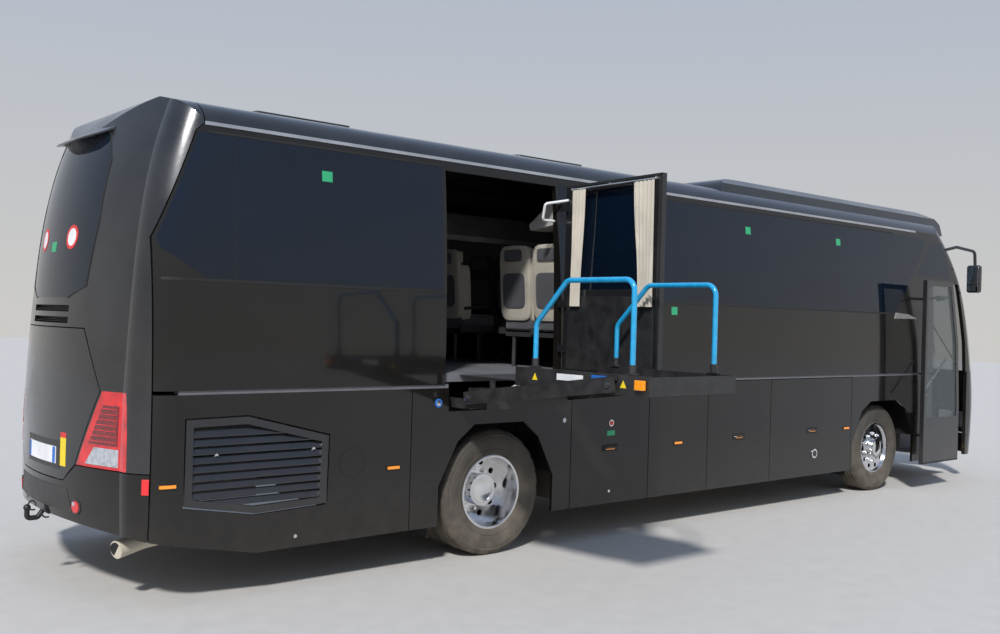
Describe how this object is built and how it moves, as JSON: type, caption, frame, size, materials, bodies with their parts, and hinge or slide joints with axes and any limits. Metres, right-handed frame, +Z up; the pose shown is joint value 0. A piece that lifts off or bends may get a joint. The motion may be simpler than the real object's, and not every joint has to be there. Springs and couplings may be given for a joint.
{
  "type": "touring coach with wheelchair lift",
  "caption": "Dark touring coach standing with its front door open and a side wheelchair lift deployed at floor level beside an open upper side door.",
  "frame": {"origin": "middle of the bounding box footprint, on the ground: the coach centre plane lies 0.931 m to +Y of it, the rear axle 2.710 m behind it and the front axle 3.350 m ahead of it", "axes": "+X forward along the coach, +Y to its left side, +Z up from the ground; the deployed lift stands out to -Y"},
  "size_m": [11.9931, 4.662, 3.6],
  "materials": {
    "dark_paint": "glossy dark warm black",
    "graphite_paint": "metallic graphite",
    "black_paint": "satin black",
    "tinted_glass": "dark tinted glass",
    "clear_glass": "clear glass",
    "frame_steel": "grey chassis paint",
    "floor_deck": "grey floor covering",
    "seat_fabric": "dark grey fabric",
    "trim_plastic": "light grey moulding",
    "dash_plastic": "black moulding",
    "red_lamp": "red lens",
    "clear_lamp": "clear lens",
    "polished_rim": "polished",
    "tyre_rubber": "dusty rubber",
    "silver_trim": "satin silver",
    "rail_blue": "cyan blue gloss",
    "lift_black": "satin black",
    "curtain_fabric": "cream fabric",
    "white_paint": "white",
    "cast_grey": "cast iron",
    "hitch_black": "black"
  },
  "bodies": {
    "coach_body": {"cab_floor": "floor_deck", "dashboard": "dash_plastic", "door_bow_arm": "white_paint", "door_curtains": "curtain_fabric", "driver_seat": "seat_fabric", "engine_block": "cast_grey", "front_axle": "cast_grey", "front_mask": "dark_paint", "headlamps": "clear_lamp", "lift_carriage": "lift_black", "luggage_racks": "trim_plastic", "middle_door": "dark_paint", "mirrors": "black_paint", "passenger_floor": "floor_deck", "passenger_seats": "seat_fabric", "rear_axle": "cast_grey", "rear_body": "graphite_paint", "rear_bumper": "dark_paint", "rear_window": "tinted_glass", "roof_fairing": "graphite_paint", "roof_panel": "graphite_paint", "roof_trim": "silver_trim", "side_glass": "tinted_glass", "side_wall_left": "dark_paint", "side_wall_right": "dark_paint", "skirt_left": "dark_paint", "skirt_right": "dark_paint", "tail_lamps": "red_lamp", "tow_coupling": "hitch_black", "underframe": "frame_steel", "wheelchair_door": "black_paint", "wheelchair_door_glass": "tinted_glass", "wheelhouses": "black_paint", "windscreen": "clear_glass"},
    "entrance_swing_arms": {"entrance_arms": "lift_black"},
    "entrance_door": {"entrance_leaf": "black_paint", "entrance_leaf_glass": "clear_glass"},
    "engine_hatch": {"engine_lid": "graphite_paint"},
    "radiator_hatch_right": {"radiator_flap_right": "black_paint"},
    "radiator_hatch_left": {"radiator_flap_left": "black_paint"},
    "luggage_hatch_right_1": {"luggage_flap_right_1": "dark_paint"},
    "luggage_hatch_right_2": {"luggage_flap_right_2": "dark_paint"},
    "luggage_hatch_left_1": {"luggage_flap_left_1": "dark_paint"},
    "luggage_hatch_left_2": {"luggage_flap_left_2": "dark_paint"},
    "luggage_hatch_left_3": {"luggage_flap_left_3": "dark_paint"},
    "lift_swing_arms": {"lift_arms": "lift_black"},
    "lift_guide_links": {"lift_links": "lift_black"},
    "lift_deck": {"lift_platform": "lift_black", "lift_handrails": "rail_blue"},
    "steering_knuckle_right": {"knuckle_right": "cast_grey"},
    "steering_knuckle_left": {"knuckle_left": "cast_grey"},
    "front_wheel_right": {"front_rim_right": "polished_rim", "front_tyre_right": "tyre_rubber"},
    "front_wheel_left": {"front_rim_left": "polished_rim", "front_tyre_left": "tyre_rubber"},
    "rear_wheels_right": {"rear_rims_right": "polished_rim", "rear_tyres_right": "tyre_rubber"},
    "rear_wheels_left": {"rear_rims_left": "polished_rim", "rear_tyres_left": "tyre_rubber"}
  },
  "joints": [
    {"name": "entrance_arm_swing", "type": "hinge", "parent": "coach_body", "child": "entrance_swing_arms", "pos_m": [4.58, -0.239, 1], "axis": [0, 0, 1], "range_deg": [0, 140]},
    {"name": "entrance_leaf_turn", "type": "hinge", "parent": "entrance_swing_arms", "child": "entrance_door", "pos_m": [4.23528, -0.52825, 1], "axis": [0, 0, 1], "range_deg": [-140, 0]},
    {"name": "engine_hatch_hinge", "type": "hinge", "parent": "coach_body", "child": "engine_hatch", "pos_m": [-5.878, 0.931, 1.794], "axis": [0, 1, 0], "range_deg": [0, 75]},
    {"name": "radiator_hatch_right_hinge", "type": "hinge", "parent": "coach_body", "child": "radiator_hatch_right", "pos_m": [-4.81, -0.343, 1.235], "axis": [-1, 0, 0], "range_deg": [0, 80]},
    {"name": "radiator_hatch_left_hinge", "type": "hinge", "parent": "coach_body", "child": "radiator_hatch_left", "pos_m": [-4.81, 2.205, 1.235], "axis": [1, 0, 0], "range_deg": [0, 80]},
    {"name": "luggage_hatch_right_1_hinge", "type": "hinge", "parent": "coach_body", "child": "luggage_hatch_right_1", "pos_m": [0.515, -0.343, 1.38], "axis": [-1, 0, 0], "range_deg": [0, 95]},
    {"name": "luggage_hatch_right_2_hinge", "type": "hinge", "parent": "coach_body", "child": "luggage_hatch_right_2", "pos_m": [1.83, -0.343, 1.38], "axis": [-1, 0, 0], "range_deg": [0, 95]},
    {"name": "luggage_hatch_left_1_hinge", "type": "hinge", "parent": "coach_body", "child": "luggage_hatch_left_1", "pos_m": [-1.165, 2.205, 1.38], "axis": [1, 0, 0], "range_deg": [0, 95]},
    {"name": "luggage_hatch_left_2_hinge", "type": "hinge", "parent": "coach_body", "child": "luggage_hatch_left_2", "pos_m": [0.3, 2.205, 1.38], "axis": [1, 0, 0], "range_deg": [0, 95]},
    {"name": "luggage_hatch_left_3_hinge", "type": "hinge", "parent": "coach_body", "child": "luggage_hatch_left_3", "pos_m": [1.83, 2.205, 1.38], "axis": [1, 0, 0], "range_deg": [0, 95]},
    {"name": "lift_arm_swing", "type": "hinge", "parent": "coach_body", "child": "lift_swing_arms", "pos_m": [-2.71, -0.539, 1.32], "axis": [1, 0, 0], "range_deg": [0, 64]},
    {"name": "lift_link_swing", "type": "hinge", "parent": "coach_body", "child": "lift_guide_links", "pos_m": [-2.71, -0.559, 1.365], "axis": [1, 0, 0], "range_deg": [0, 64]},
    {"name": "lift_deck_level", "type": "hinge", "parent": "lift_swing_arms", "child": "lift_deck", "pos_m": [-2.71, -2.016, 1.52], "axis": [1, 0, 0], "range_deg": [-64, 0]},
    {"name": "steering_right", "type": "hinge", "parent": "coach_body", "child": "steering_knuckle_right", "pos_m": [3.35, 0.031, 0.515], "axis": [0, 0, 1], "range_deg": [-45, 45]},
    {"name": "steering_left", "type": "hinge", "parent": "coach_body", "child": "steering_knuckle_left", "pos_m": [3.35, 1.831, 0.515], "axis": [0, 0, 1], "range_deg": [-45, 45]},
    {"name": "front_wheel_right_spin", "type": "hinge", "parent": "steering_knuckle_right", "child": "front_wheel_right", "pos_m": [3.35, -0.109, 0.515], "axis": [0, 1, 0], "continuous": true},
    {"name": "front_wheel_left_spin", "type": "hinge", "parent": "steering_knuckle_left", "child": "front_wheel_left", "pos_m": [3.35, 1.971, 0.515], "axis": [0, 1, 0], "continuous": true},
    {"name": "rear_wheels_right_spin", "type": "hinge", "parent": "coach_body", "child": "rear_wheels_right", "pos_m": [-2.71, 0.031, 0.515], "axis": [0, 1, 0], "continuous": true},
    {"name": "rear_wheels_left_spin", "type": "hinge", "parent": "coach_body", "child": "rear_wheels_left", "pos_m": [-2.71, 1.831, 0.515], "axis": [0, 1, 0], "continuous": true}
  ],
  "couplings": [
    {"joint": "entrance_leaf_turn", "follows": "entrance_arm_swing", "ratio": -1},
    {"joint": "lift_deck_level", "follows": "lift_arm_swing", "ratio": -1},
    {"joint": "lift_link_swing", "follows": "lift_arm_swing", "ratio": 1},
    {"joint": "steering_left", "follows": "steering_right", "ratio": 1}
  ]
}
